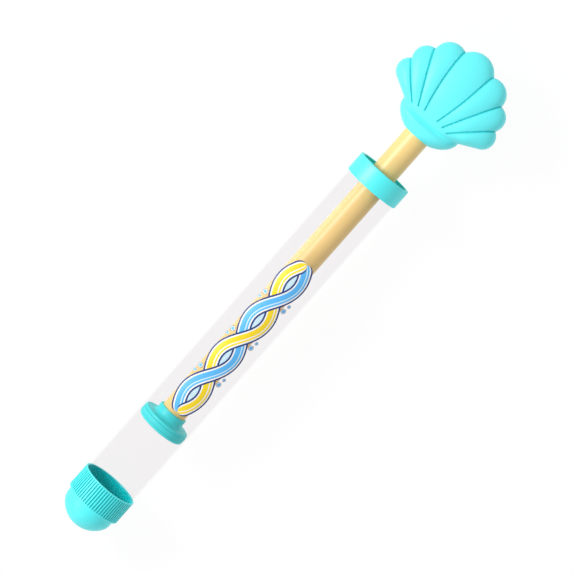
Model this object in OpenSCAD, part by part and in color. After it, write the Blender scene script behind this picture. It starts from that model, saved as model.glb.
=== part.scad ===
// Water squirter: a clear barrel with a domed nozzle cap, and a plunger whose
// handle is a scallop shell. It lies along X with the nozzle towards -X, on its
// cap and end collar, with the shell's front up and the plunger part way in.

/* [Barrel] */
// Outside diameter of the clear tube
barrel_od = 40; // [36:0.5:46]
// Wall of the clear tube
barrel_wall = 1.1; // [0.8:0.1:1.5]
// Length of the clear tube
barrel_len = 304.2; // [240:0.2:340]

/* [Nozzle cap] */
// Wall of the skirt outside the tube, ribs included
skirt_wall = 1.45; // [1.3:0.05:1.8]
// Height of the ribbed skirt
skirt_h = 19; // [14:0.5:24]
// Step from the skirt in to the dome
dome_step = 2.2; // [1.8:0.1:3]
// Straight neck between the dome and the skirt
dome_neck = 3.4; // [0.6:0.1:4]
// Height of the dome, before its tip is cut flat
dome_h = 15.7; // [13.5:0.1:17]
// Radius of the dome's shoulder
dome_shoulder = 11.5; // [9:0.1:12.5]
// Wall of the dome
dome_wall = 2; // [1.4:0.1:2.6]
// Flat face round the jet hole
jet_face_d = 6; // [5:0.5:8]
// Jet hole diameter
jet_d = 3.5; // [2:0.1:4.5]
// Length of the jet hole
jet_len = 5; // [3.5:0.5:7]
// Wall of the boss round the jet hole
jet_boss_wall = 2.5; // [1.5:0.1:3.5]
// Height of the gasket's seat above the skirt's lower edge
seat_t = 2; // [1.5:0.1:3]
// Gasket thickness
gasket_t = 1.8; // [1.2:0.1:2.5]
// Gasket ring width
gasket_w = 2.6; // [2:0.1:3]
// Grip ribs round the skirt
rib_count = 64; // [40:2:72]
// How far the ribs stand out
rib_h = 0.65; // [0.3:0.05:0.8]
// Plain band above and below the ribs
rib_band = 0.6; // [0.5:0.1:1.5]
// How far the bands stand out past the ribs
band_proud = 0.05; // [0.03:0.01:0.15]
// Chamfer under the skirt
skirt_chamfer = 0.6; // [0.4:0.1:1]
// Depth of the flutes in the socket, one behind each rib
flute_d = 0.25; // [0.15:0.05:0.35]

/* [End collar] */
// Wall of the collar outside the tube
collar_wall = 1.15; // [1:0.05:1.6]
// Height of the collar
collar_h = 14.8; // [10:0.2:18]
// Rounding of the collar's outer edges
collar_round = 0.8; // [0.4:0.1:1]
// Depth of the dish in the collar's end
dish_d = 2; // [0.5:0.1:3]
// Web that covers the tube's end
collar_web = 2; // [1.5:0.1:3]
// Length of the rod guide inside the tube
guide_len = 6; // [3:0.5:8]
// Wall of the rod guide
guide_wall = 2; // [1.5:0.1:3]
// Air notches round the rod
vent_count = 4; // [3:1:6]
// Width of an air notch
vent_w = 2.4; // [1.6:0.1:3]

/* [Plunger rod] */
// Outside diameter of the rod
rod_od = 18.9; // [16:0.1:20]
// Wall of the rod
rod_wall = 1.6; // [1.2:0.1:2.4]
// Length of the rod
rod_len = 306.5; // [260:0.5:340]
// Length of the rod inside the handle
rod_in = 38; // [34:0.5:42]
// Gap between the collar and the handle as stored
draw_gap = 33; // [10:0.2:120]

/* [Piston] */
// Height of the piston disc
disc_h = 8.5; // [7:0.5:12]
// Rounding of the disc's lower edge
disc_round = 1.8; // [1:0.1:2]
// Chamfer of the disc's upper edge
disc_chamfer = 0.9; // [0.5:0.1:1.2]
// Floor under the rod's end
piston_floor = 4; // [3:0.1:6]
// Depth of the dish under the piston
piston_dish = 2; // [1:0.1:2.4]
// Width of the dish under the piston
piston_dish_d = 24; // [16:1:28]
// Wall of the hub round the rod
hub_wall = 1.5; // [1.2:0.1:3]
// Height of the hub above the disc
hub_rise = 7; // [5:0.5:12]
// Height of the seal band
seal_h = 3.8; // [2.5:0.1:4]
// Radial depth of the seal band
seal_d = 2.6; // [1.6:0.1:3]
// How far the seal stands out of the disc
seal_proud = 0.25; // [0.15:0.05:0.5]

/* [Shell handle] */
// Width of the foot, where it meets the fan
foot_w = 49.2; // [44:0.2:54]
// Height of the foot
foot_h = 14.8; // [12:0.2:18]
// Lip of the foot round the rod
foot_lip = 1.7; // [1.4:0.1:3]
// Thickness of the shell at its grooves
shell_t = 30; // [28:0.2:34]
// Depth of the crease between the foot and the fan
crease_step = 1.7; // [0.8:0.1:2.2]
// How far the crease dips in the middle
crease_sag = 2.4; // [1:0.1:4]
// Height of the sloped ledge in the crease
crease_gap = 0.5; // [0.3:0.1:0.8]
// Height of the point that the lobes spread from
fan_root = 11.2; // [8:0.2:14]
// Angles of the notches between the lobes, from the middle out
notch_angle = [13.5, 35.5, 54.8, 74.5]; // [8:0.5:80]
// Reach of those notches
notch_reach = [55.2, 52, 46.9, 39.7]; // [34:0.1:64]
// Rise of a lobe's rim, as a share of its width
lobe_rise = 0.29; // [0.2:0.005:0.34]
// Crown of a lobe between its grooves
lobe_crown = 1.8; // [0.8:0.1:2.4]
// Spacing of the grooves' lower ends
groove_pitch = 4.45; // [4:0.05:4.8]
// Outward bow of the two middle grooves
groove_bow = 1.6; // [0:0.1:2.4]
// Width of a groove
groove_w = 1.5; // [0.8:0.1:1.8]
// Depth of a groove
groove_d = 1.1; // [0.5:0.1:1.2]
// Wall of the shell halves
shell_wall = 2.2; // [1.8:0.1:2.6]
// Thickness of the ribs that hold the rod
saddle_t = 2.4; // [1.6:0.1:3.5]
// How far those ribs reach past the rod on each side
saddle_wall = 3; // [2:0.1:4]

/* [Handle screws] */
// Screw shank diameter
screw_d = 2.9; // [2.5:0.1:3.1]
// Screw shank length
screw_len = 16; // [14:0.5:18]
// Screw head diameter
head_d = 5.5; // [5:0.1:6]
// Screw head height
head_h = 2; // [1.6:0.1:2.6]
// Floor between the rod and the screw seats
seat_floor = 1.1; // [0.8:0.1:1.5]
// Wall of the bosses round the shank and the head
boss_wall = 2; // [1.6:0.1:2.4]

/* [Fits] */
// Gap of pressed and glued joints
press_gap = 0.05; // [0.02:0.01:0.1]
// Running gap of the seal in the bore and in its groove
run_gap = 0.1; // [0.05:0.01:0.1]
// Gap between the rod and its guide
guide_gap = 0.15; // [0.1:0.01:0.3]
// Gap round screw heads and round the boss in the rod
loose_gap = 0.25; // [0.15:0.05:0.4]

/* [Hidden] */
$fn = 96;
slack = 0.5;       // overlap of cutting tools
dome_blend = 0.05; // how far the dome's crown is drawn in, so that it meets the shoulder at an edge
aqua = [0.43, 0.96, 0.97];
beige = [0.96, 0.84, 0.56];
clear = [0.93, 0.94, 0.95, 0.35];
milky = [0.92, 0.93, 0.92];
steel = [0.72, 0.73, 0.75];

// Radii
barrel_r = barrel_od / 2;
bore_r = barrel_r - barrel_wall;
socket_r = barrel_r + press_gap;
cap_r = socket_r + skirt_wall;
rib_crest_r = cap_r - band_proud;
rib_root_r = rib_crest_r - rib_h;
collar_r = socket_r + collar_wall;
dome_r = cap_r - dome_step;
shoulder_x = dome_r - dome_shoulder;
crown_lift = (shoulder_x * shoulder_x - pow(dome_h - dome_shoulder, 2)) / (2 * (dome_h - dome_shoulder));
crown_r = dome_h + crown_lift - dome_blend;
jet_r = jet_d / 2;
rod_r = rod_od / 2;
rod_seat_r = rod_r + press_gap;
guide_r = rod_r + guide_gap;
seal_r = bore_r - run_gap;
disc_r = seal_r - seal_proud;
groove_floor_r = seal_r - seal_d - run_gap;
hub_r = rod_seat_r + hub_wall;
foot_end_r = rod_seat_r + foot_lip;
shank_hole_r = screw_d / 2 + press_gap;
boss_r = shank_hole_r + boss_wall;
head_hole_r = head_d / 2 + loose_gap;
seat_boss_r = head_hole_r + boss_wall;

// Stations along the axis, counted from the jet face
dome_mid = sqrt(crown_r * crown_r - jet_face_d * jet_face_d / 4) - crown_lift;
skirt_low = dome_mid + dome_neck;
skirt_top = skirt_low + skirt_h;
rib_low = skirt_low + skirt_chamfer + rib_band;
rib_top = skirt_top - rib_band;
seat_at = skirt_low + seat_t;
barrel_low = seat_at + gasket_t;
barrel_top = barrel_low + barrel_len;
collar_top = barrel_top + collar_web + dish_d;
collar_low = collar_top - collar_h;
guide_low = barrel_top - guide_len;
handle_at = collar_top + draw_gap;
rod_low = handle_at + rod_in - rod_len;
piston_low = rod_low - piston_floor;
disc_top = piston_low + disc_h;
hub_top = disc_top + hub_rise;
groove_low = piston_low + (disc_h - seal_h) / 2 - run_gap;
axis_h = max(cap_r, collar_r);

// Shares that shape the ribs and the flutes, and the turn of the vents
rib_root_share = 0.58;   // width of a rib's root, of the pitch
rib_crest_share = 0.46;  // width of a rib's crest, of the pitch
flute_mouth_share = 0.6; // width of a flute's mouth, of the pitch
flute_floor_share = 0.3; // width of a flute's floor, of the pitch
vent_turn = 45;          // angle of the first vent

// Shell surface: fullness of its sections, and shares of the way from the crease to the rim
sides = len(notch_angle);
lobes = 2 * sides - 1;
middle = sides - 1;
foot_shape = 1.9;    // fullness of the foot's outline
crown_shape = 2.9;   // fullness of the section at the crease
edge_shape = 2.6;    // fullness of the outermost lobes
rim_shape = 0.31;    // fullness of the section towards the rim
rim_pull = 3;        // how late the lobes' arcs grow
side_run = 0.5;      // where the outermost lobes have their own section
crown_run = 0.6;     // where the lobes are fully crowned
valley_run = 0.55;   // where the foot begins to draw in towards the crease, of its height
lip_run = 0.07;      // where the lip over the crease ends
lip_drop = 0.04;     // how far that lip draws in, of the height
groove_start = 0.1;  // where the grooves begin
groove_fade = 0.01;  // half the run in which they deepen
inner_rise = 0.6;    // rise of the inner wall at the crease, of the wall
inner_mid = fan_root + 0.4 * notch_reach[0]; // height of the point that the inner wall closes in on
foot_turn = asin(pow(2 * foot_end_r / foot_w, foot_shape / 2));
foot_low = pow(cos(foot_turn), 2 / foot_shape);
shell_top = fan_point(middle, 0.5, 1, 0)[1];
length_all = handle_at + shell_top;

// Rows climb the foot by angle and then the fan by share
foot_steps = 8;
lip_rows = [0, 0.03, 0.07, 0.09, 0.11];
fan_turns = [14:8:86];
shell_rows = concat(
    [for (k = [0:foot_steps]) [0, foot_turn + (90 - foot_turn) * k / foot_steps]],
    [for (b = lip_rows) [1, b]],
    [for (t = fan_turns) [1, sin(t)]],
    [[1, 1]]);

// Columns run across the lobes: lobe, share of its width, and the side of a groove to stand on
edge_steps = 7;
lobe_cols = [[0, 0], [0, 1], [0.24, 0], [0.37, 0], [0.5, 0], [0.63, 0], [0.76, 0], [1, -1]];
shell_cols = concat(
    [for (k = [0:edge_steps - 1]) [0, 1 - cos(90 * k / edge_steps), 0]],
    [[0, 1, -1]],
    [for (i = [1:lobes - 2], c = lobe_cols) [i, c[0], c[1]]],
    [[lobes - 1, 0, 0], [lobes - 1, 0, 1]],
    [for (k = [edge_steps - 1:-1:0]) [lobes - 1, cos(90 * k / edge_steps), 0]]);

// Screw places: lobe, share of its width, share of the way to the rim. The first goes through the rod.
screw_spots = [[middle, 0.5, 0.24], [1, 0.5, 0.6], [lobes - 2, 0.5, 0.6]];
screw_seat = rod_seat_r + seat_floor;

function lerp(a, b, t) = a + (b - a) * t;
function smooth(a, b, x) = let (t = max(0, min(1, (x - a) / (b - a)))) t * t * (3 - 2 * t);
function unit(v) = v / norm(v);
function bulge(x, n) = pow(max(0, 1 - pow(abs(x), n)), 1 / n);

// Lines that bound the lobes, counted from the left edge of the fan to its right edge
function side_of(i) = i < sides ? -1 : 1;
function rank(i) = i < sides ? sides - 1 - i : i - sides;
function is_edge(i) = rank(i) == sides - 1;
function crease_at(x) = foot_h - crease_sag * (1 - pow(2 * x / foot_w, 2));
function base_x(i) = side_of(i) * (is_edge(i) ? foot_w / 2 : (rank(i) + 1) * groove_pitch);
function base_point(i, inset) =
    let (x = base_x(i)) [x * (1 - 2 * inset / foot_w), crease_at(x) + inner_rise * inset];
function rim_point(i, inset) =
    let (reach = notch_reach[rank(i)], angle = notch_angle[rank(i)],
         p = [side_of(i) * reach * sin(angle), fan_root + reach * cos(angle)])
    p + inset * unit([0, inner_mid] - p) + [0, is_edge(i) ? inset / 2 : 0];
function line_point(i, b, inset) =
    lerp(base_point(i, inset), rim_point(i, inset), b)
    + [side_of(i) * (rank(i) == 0 ? groove_bow : 0) * sin(180 * b), 0];

// Place on the fan, seen from the front, and its height above the parting plane
function fan_point(i, w, b, inset) =
    let (from = rim_point(i, inset), to = rim_point(i + 1, inset), chord = norm(to - from),
         out = [from[1] - to[1], to[0] - from[0]] / chord,
         rise = lobe_rise * chord, r = (chord * chord / 4 + rise * rise) / (2 * rise),
         arc = sqrt(r * r - pow((w - 0.5) * chord, 2)) - (r - rise))
    lerp(line_point(i, b, inset), line_point(i + 1, b, inset), w) + out * arc * pow(b, rim_pull);
function base_share(i, w) = lerp(base_x(i), base_x(i + 1), w) * 2 / foot_w;
function across(i, w, b) =
    let (edge = i == 0 ? bulge(1 - w, edge_shape) : i == lobes - 1 ? bulge(w, edge_shape) : 1)
    lerp(bulge(base_share(i, w), crown_shape), edge, smooth(0, side_run, b));
function in_groove(i, w) = (w == 0 && i > 0) || (w == 1 && i < lobes - 1);
function groove_depth(i, w, b) =
    in_groove(i, w) ? groove_d * smooth(groove_start - groove_fade, groove_start + groove_fade, b) : 0;
function fan_height(i, w, b, inset) =
    let (crown = inset > 0 ? 0 : lobe_crown * smooth(0, crown_run, b) * 4 * w * (1 - w),
         cut = inset > 0 ? 0 : groove_depth(i, w, b),
         lip = 1 - lip_drop * (1 - smooth(0, lip_run, b)))
    max(0, (shell_t / 2 - inset + crown) * lip * across(i, w, b) * pow(1 - b * b, rim_shape) - cut);
function fan_surface(i, w, b, inset) =
    let (p = fan_point(i, w, b, inset)) [p[0], p[1], fan_height(i, w, b, inset)];

// Place on the foot: an angle up its outline and a share of its half width
function foot_surface(turn, x, inset) =
    let (half = foot_w / 2 * pow(sin(turn), 2 / foot_shape),
         up = (foot_low - pow(cos(turn), 2 / foot_shape)) / foot_low,
         wide = (half - foot_end_r) / (foot_w / 2 - foot_end_r),
         deep = lerp(foot_end_r, shell_t / 2 - crease_step * smooth(valley_run, 1, up), wide))
    [x * (half - inset),
     up * (crease_at(x * foot_w / 2) - crease_gap) + (up > 0 ? inset * lerp(1, inner_rise, up) : 0),
     (deep - inset) * bulge(x, lerp(2, crown_shape, up))];

function col_share(col, b) =
    let (gap = norm(line_point(col[0] + 1, b, 0) - line_point(col[0], b, 0)))
    col[1] + col[2] * groove_w / 2 / gap;
function shell_point(row, col, inset) =
    row[0] == 0
        ? foot_surface(row[1], base_share(col[0], col_share(col, 0)), inset)
        : fan_surface(col[0], col_share(col, row[1]), row[1], inset);

// One half of the shell: an outer and an inner sheet, closed along their edges
module shell_half() {
    rows = len(shell_rows);
    cols = len(shell_cols);
    function at(sheet, r, c) = (sheet * rows + r) * cols + c;
    function split(a, b, d, e, left) = left ? [[a, d, b], [b, d, e]] : [[a, e, b], [a, d, e]];
    function cell(sheet, r, c) =
        split(at(sheet, r, c), at(sheet, r, c + 1), at(sheet, r + 1, c), at(sheet, r + 1, c + 1),
              c < (cols - 1) / 2);
    function band(a, b, c, d) = [[a, b, d], [a, d, c]];
    points = [for (inset = [0, shell_wall], row = shell_rows, col = shell_cols) shell_point(row, col, inset)];
    outer = [for (r = [0:rows - 2], c = [0:cols - 2]) each cell(0, r, c)];
    inner = [for (r = [0:rows - 2], c = [0:cols - 2]) for (f = cell(1, r, c)) [f[2], f[1], f[0]]];
    ends = [for (c = [0:cols - 2]) each concat(
        band(at(0, 0, c), at(0, 0, c + 1), at(1, 0, c), at(1, 0, c + 1)),
        band(at(0, rows - 1, c + 1), at(0, rows - 1, c), at(1, rows - 1, c + 1), at(1, rows - 1, c)))];
    flanks = [for (r = [0:rows - 2]) each concat(
        band(at(0, r + 1, 0), at(0, r, 0), at(1, r + 1, 0), at(1, r, 0)),
        band(at(0, r, cols - 1), at(0, r + 1, cols - 1), at(1, r, cols - 1), at(1, r + 1, cols - 1)))];
    polyhedron(points, concat(outer, inner, ends, flanks));
}

// Frames: turned pieces stand along Z before they are laid down, the shell faces +Z with its top along +Y
module turned(station = 0) {
    translate([station - length_all / 2, 0, axis_h]) rotate([0, 90, 0]) children();
}
module on_handle() {
    translate([handle_at - length_all / 2, 0, axis_h]) rotate([0, 0, -90]) children();
}
module tube(r, bore, h) {
    difference() {
        cylinder(r = r, h = h);
        translate([0, 0, -slack]) cylinder(r = bore, h = h + 2 * slack);
    }
}
module at_screws(spots = screw_spots) {
    for (spot = spots) {
        p = fan_point(spot[0], spot[1], spot[2], 0);
        $roof = roof(spot);
        translate([p[0], p[1], 0]) children();
    }
}
// Height at which a rib or boss ends, inside the shell's wall
function roof(spot) = fan_height(spot[0], spot[1], spot[2], shell_wall) + shell_wall / 2;

module barrel() {
    color(clear) turned(barrel_low) tube(barrel_r, bore_r, barrel_len);
}

module rib_ring() {
    pitch = 360 / rib_count;
    root = rib_root_share / 2 * pitch;
    crest = rib_crest_share / 2 * pitch;
    sunk = rib_root_r - rib_h / 2;
    rib = [[sunk, -root], [rib_crest_r, -crest], [rib_crest_r, crest], [sunk, root]];
    translate([0, 0, rib_low - rib_band / 2]) linear_extrude(rib_top - rib_low + rib_band) difference() {
        polygon([for (k = [0:rib_count - 1], p = rib)
            p[0] * [cos(k * pitch + p[1]), sin(k * pitch + p[1])]]);
        circle(r = (socket_r + rib_root_r) / 2);
    }
}

// Flutes inside the skirt, cut from above the gasket to below the rim band
module flute_ring() {
    pitch = 360 / rib_count;
    mouth = flute_mouth_share / 2 * pitch;
    base = flute_floor_share / 2 * pitch;
    flute = [[socket_r - flute_d, -mouth], [socket_r + flute_d, -base],
             [socket_r + flute_d, base], [socket_r - flute_d, mouth]];
    translate([0, 0, barrel_low + rib_band]) linear_extrude(rib_top - barrel_low - rib_band)
        polygon([for (k = [0:rib_count - 1], p = flute)
            p[0] * [cos(k * pitch + p[1]), sin(k * pitch + p[1])]]);
}

// Half section of the dome: a shoulder arc and a flatter crown arc
module dome_section(inset) {
    reach = 4;
    crown_at = dome_mid + crown_lift;
    intersection() {
        union() {
            translate([shoulder_x, dome_mid]) circle(r = dome_shoulder - inset);
            intersection() {
                translate([0, crown_at]) circle(r = crown_r - inset);
                polygon([[0, crown_at], [reach * shoulder_x, crown_at - reach * crown_lift],
                         [0, crown_at - reach * crown_r]]);
            }
        }
        square([cap_r, dome_mid]);
    }
}

module cap_profile() {
    hollow_r = dome_r - dome_wall;
    difference() {
        union() {
            dome_section(0);
            translate([0, dome_mid]) square([dome_r, dome_neck + seat_t]);
            translate([0, skirt_low]) square([rib_root_r, skirt_h]);
            polygon([[0, skirt_low], [cap_r - skirt_chamfer, skirt_low], [cap_r, skirt_low + skirt_chamfer],
                     [cap_r, rib_low], [0, rib_low]]);
            translate([0, rib_top]) square([cap_r, rib_band]);
        }
        difference() {
            union() {
                dome_section(dome_wall);
                translate([0, dome_mid]) square([hollow_r, skirt_h + dome_neck]);
            }
            square([jet_r + jet_boss_wall, jet_len]);
        }
        translate([0, seat_at]) square([socket_r, skirt_h]);
        translate([0, -slack]) square([jet_r, dome_r]);
    }
}

module nozzle_cap() {
    color(aqua) turned() difference() {
        union() {
            rotate_extrude() cap_profile();
            rib_ring();
        }
        flute_ring();
    }
}

module cap_gasket() {
    color(milky) turned(seat_at) tube(barrel_r, barrel_r - gasket_w, gasket_t);
}

module collar_profile() {
    rim = collar_wall + barrel_wall;
    difference() {
        union() {
            translate([0, collar_low + collar_round]) square([collar_r, collar_h - 2 * collar_round]);
            translate([0, collar_low]) square([collar_r - collar_round, collar_h]);
            for (h = [collar_low + collar_round, collar_top - collar_round])
                translate([collar_r - collar_round, h]) circle(r = collar_round);
        }
        difference() {
            translate([0, collar_low - slack]) square([socket_r, barrel_top - collar_low + slack]);
            translate([0, guide_low]) square([guide_r + guide_wall, guide_len]);
        }
        translate([0, barrel_top + collar_web]) square([collar_r - rim, dish_d + slack]);
        translate([0, collar_low - slack]) square([guide_r, collar_h + 2 * slack]);
    }
}

module end_collar() {
    color(aqua) turned() difference() {
        rotate_extrude() collar_profile();
        for (k = [0:vent_count - 1])
            rotate([0, 0, vent_turn + k * 360 / vent_count]) translate([guide_r, 0, guide_low - slack])
                cylinder(d = vent_w, h = guide_len + collar_web + 2 * slack);
    }
}

// Hollow rod, cross-drilled where the handle's lower screw boss goes through it
module plunger_rod() {
    color(beige) difference() {
        turned(rod_low) tube(rod_r, rod_r - rod_wall, rod_len);
        on_handle() at_screws([screw_spots[0]])
            cylinder(r = boss_r + loose_gap, h = 2 * rod_od, center = true);
    }
}

module piston_profile() {
    difference() {
        union() {
            translate([0, piston_low]) square([disc_r - disc_round, disc_h - disc_chamfer]);
            translate([0, piston_low + disc_round]) square([disc_r, disc_h - disc_round - disc_chamfer]);
            translate([disc_r - disc_round, piston_low + disc_round]) circle(r = disc_round);
            polygon([[0, disc_top - disc_chamfer], [disc_r, disc_top - disc_chamfer],
                     [disc_r - disc_chamfer, disc_top], [0, disc_top]]);
            translate([0, piston_low]) square([hub_r, disc_h + hub_rise]);
        }
        translate([0, piston_low - slack]) square([piston_dish_d / 2, piston_dish + slack]);
        translate([0, rod_low]) square([rod_seat_r, rod_len]);
        translate([groove_floor_r, groove_low]) square([disc_r, seal_h + 2 * run_gap]);
    }
}

module piston() {
    color(aqua) turned() rotate_extrude() piston_profile();
}

module piston_seal() {
    color(aqua) turned(groove_low + run_gap) tube(seal_r, seal_r - seal_d, seal_h);
}

// Ribs that hold the rod, and the stop above its end, cut to the height of the shell at their ends
module saddles() {
    width = rod_od + 2 * saddle_wall;
    low = base_point(middle, 0)[1];
    for (from = [foot_h + shell_wall, rod_in - saddle_t - press_gap, rod_in + press_gap]) {
        share = (from - low) / (rim_point(middle, 0)[1] - low);
        translate([-width / 2, from, 0]) cube([width, saddle_t, roof([1, 0, share])]);
    }
}

// What both halves of the handle have: shell, ribs, seat of the rod and bosses round the shanks
module half_body() {
    difference() {
        union() {
            shell_half();
            saddles();
        }
        translate([0, -slack, 0]) rotate([-90, 0, 0])
            cylinder(r = rod_seat_r, h = rod_in + press_gap + slack);
    }
    at_screws() cylinder(r = boss_r, h = $roof);
}

module handle_front() {
    color(aqua) on_handle() difference() {
        half_body();
        at_screws() translate([0, 0, -slack])
            cylinder(r = shank_hole_r, h = screw_len - screw_seat + 2 * slack);
    }
}

module handle_rear() {
    color(aqua) on_handle() mirror([0, 0, 1]) difference() {
        union() {
            half_body();
            at_screws() translate([0, 0, rod_seat_r]) cylinder(r = seat_boss_r, h = $roof - rod_seat_r);
        }
        at_screws() {
            translate([0, 0, -slack]) cylinder(r = shank_hole_r, h = screw_seat + 2 * slack);
            translate([0, 0, screw_seat]) cylinder(r = head_hole_r, h = shell_t);
        }
    }
}

module handle_screws() {
    color(steel) on_handle() mirror([0, 0, 1]) at_screws() {
        translate([0, 0, screw_seat - screw_len]) cylinder(d = screw_d, h = screw_len + head_h / 2);
        translate([0, 0, screw_seat]) cylinder(d = head_d, h = head_h);
    }
}

barrel();
nozzle_cap();
cap_gasket();
end_collar();
plunger_rod();
piston();
piston_seal();
handle_front();
handle_rear();
handle_screws();
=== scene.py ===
import math

import bmesh
import bpy
from mathutils import Matrix, Vector


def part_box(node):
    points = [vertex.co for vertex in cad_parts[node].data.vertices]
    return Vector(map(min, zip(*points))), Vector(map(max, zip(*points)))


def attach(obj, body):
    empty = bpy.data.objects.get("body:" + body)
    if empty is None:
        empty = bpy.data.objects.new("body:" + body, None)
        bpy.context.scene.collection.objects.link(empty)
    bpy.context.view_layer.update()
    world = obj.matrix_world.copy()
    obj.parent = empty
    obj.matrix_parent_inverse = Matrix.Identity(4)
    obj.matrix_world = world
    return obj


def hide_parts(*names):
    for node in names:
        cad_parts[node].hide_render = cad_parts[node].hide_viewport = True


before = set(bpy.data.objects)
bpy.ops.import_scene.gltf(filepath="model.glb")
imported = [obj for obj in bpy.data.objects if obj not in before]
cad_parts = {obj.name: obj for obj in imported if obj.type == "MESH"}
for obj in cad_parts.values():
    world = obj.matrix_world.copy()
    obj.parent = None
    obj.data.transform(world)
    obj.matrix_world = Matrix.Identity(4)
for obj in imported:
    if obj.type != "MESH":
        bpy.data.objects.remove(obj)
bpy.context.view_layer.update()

mm = 0.001
scene = bpy.context.scene

nodeNames = ("barrel", "nozzle_cap", "cap_gasket", "end_collar", "plunger_rod", "piston", "piston_seal",
             "handle_front", "handle_rear", "handle_screws")
boxes = {name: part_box(name) for name in nodeNames}
jetX = boxes["nozzle_cap"][0].x  # stations along the axis count from the jet face, in mm
axisZ = (boxes["nozzle_cap"][0].z + boxes["nozzle_cap"][1].z) / 2
handleX = boxes["handle_front"][0].x
ends = {name: ((low.x - jetX) / mm, (high.x - jetX) / mm) for name, (low, high) in boxes.items()}
print("stage 1: frame loaded, axis at", round(axisZ, 5))


# materials: two node groups give moulded and drawn plastic their uneven tone, gloss and grain

skinSet = {"flow": 38.0, "flowDetail": 3.0, "flowRough": 0.10, "grain": 2600.0, "fineDetail": 2.0,
           "stretch": (3.0, 420.0, 420.0), "streak": 1.0, "streakRough": 0.12, "grainHigh": 0.00004}
skinInputs = [("Place", "NodeSocketVector", None), ("Colour", "NodeSocketColor", (0.8, 0.8, 0.8, 1)),
              ("Tone", "NodeSocketFloat", 0.04), ("Roughness", "NodeSocketFloat", 0.4),
              ("Grain", "NodeSocketFloat", 0.02)]
skinOutputs = [("Colour", "NodeSocketColor"), ("Roughness", "NodeSocketFloat"), ("Normal", "NodeSocketVector")]


def addNode(tree, kind, values=None, links=None):
    node = tree.nodes.new(kind)
    for key, value in (values or {}).items():
        node.inputs[key].default_value = value
    for key, source in (links or {}).items():
        tree.links.new(source, node.inputs[key])
    return node


def mathNode(tree, operation, first, second):
    node = tree.nodes.new("ShaderNodeMath")
    node.operation = operation
    for index, value in enumerate((first, second)):
        if isinstance(value, (int, float)):
            node.inputs[index].default_value = value
        else:
            tree.links.new(value, node.inputs[index])
    return node.outputs[0]


def startSkin(name):
    group = bpy.data.node_groups.new(name, "ShaderNodeTree")
    for label, kind, value in skinInputs:
        socket = group.interface.new_socket(name=label, in_out="INPUT", socket_type=kind)
        if value is not None:
            socket.default_value = value
    for label, kind in skinOutputs:
        group.interface.new_socket(name=label, in_out="OUTPUT", socket_type=kind)
    return group, group.nodes.new("NodeGroupInput"), group.nodes.new("NodeGroupOutput")


def closeSkin(group, start, end, pattern, roughSwing, height):
    swing = mathNode(group, "SUBTRACT", pattern, 0.5)  # noise is centred on a half
    tone = mathNode(group, "ADD", mathNode(group, "MULTIPLY", swing, start.outputs["Tone"]), 1.0)
    hue = addNode(group, "ShaderNodeHueSaturation", {}, {"Color": start.outputs["Colour"], "Value": tone})
    rough = mathNode(group, "ADD", start.outputs["Roughness"], mathNode(group, "MULTIPLY", swing, roughSwing))
    bump = addNode(group, "ShaderNodeBump", {"Distance": skinSet["grainHigh"]},
                   {"Strength": start.outputs["Grain"], "Height": height})
    group.links.new(hue.outputs["Color"], end.inputs["Colour"])
    group.links.new(rough, end.inputs["Roughness"])
    group.links.new(bump.outputs["Normal"], end.inputs["Normal"])
    return group


def makeMouldedGroup(s):
    group, start, end = startSkin("mouldedSkin")
    place = {"Vector": start.outputs["Place"]}
    flow = addNode(group, "ShaderNodeTexNoise", {"Scale": s["flow"], "Detail": s["flowDetail"]}, place)
    grain = addNode(group, "ShaderNodeTexNoise", {"Scale": s["grain"], "Detail": s["fineDetail"]}, place)
    return closeSkin(group, start, end, flow.outputs["Fac"], s["flowRough"], grain.outputs["Fac"])


def makeDrawnGroup(s):
    group, start, end = startSkin("drawnSkin")
    stretch = addNode(group, "ShaderNodeMapping", {"Scale": s["stretch"]}, {"Vector": start.outputs["Place"]})
    streak = addNode(group, "ShaderNodeTexNoise", {"Scale": s["streak"], "Detail": s["fineDetail"]},
                     {"Vector": stretch.outputs["Vector"]})
    return closeSkin(group, start, end, streak.outputs["Fac"], s["streakRough"], streak.outputs["Fac"])


mouldedGroup = makeMouldedGroup(skinSet)
drawnGroup = makeDrawnGroup(skinSet)


def newMaterial(name):
    material = bpy.data.materials.new(name)
    material.use_nodes = True
    tree = material.node_tree
    tree.nodes.clear()
    return material, tree, tree.nodes.new("ShaderNodeOutputMaterial")


def skinNode(tree, group, colour, roughness, tone, grain):
    place = tree.nodes.new("ShaderNodeTexCoord")
    skin = tree.nodes.new("ShaderNodeGroup")
    skin.node_tree = group
    for label, value in (("Colour", (*colour, 1)), ("Tone", tone), ("Roughness", roughness), ("Grain", grain)):
        skin.inputs[label].default_value = value
    tree.links.new(place.outputs["Object"], skin.inputs["Place"])
    return skin


def solidMaterial(name, group, colour, roughness, tone=0.04, grain=0.02, specular=0.5, metallic=0.0):
    material, tree, output = newMaterial(name)
    skin = skinNode(tree, group, colour, roughness, tone, grain)
    surface = addNode(tree, "ShaderNodeBsdfPrincipled", {"Specular IOR Level": specular, "Metallic": metallic},
                      {"Base Color": skin.outputs["Colour"], "Roughness": skin.outputs["Roughness"],
                       "Normal": skin.outputs["Normal"]})
    tree.links.new(surface.outputs["BSDF"], output.inputs["Surface"])
    return material


clearSet = {"colour": (0.9729, 0.9683, 0.9707), "roughness": 0.12, "gloss": 0.15, "ior": 1.45, "tone": 0.004,
            "grain": 0.01}


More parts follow.
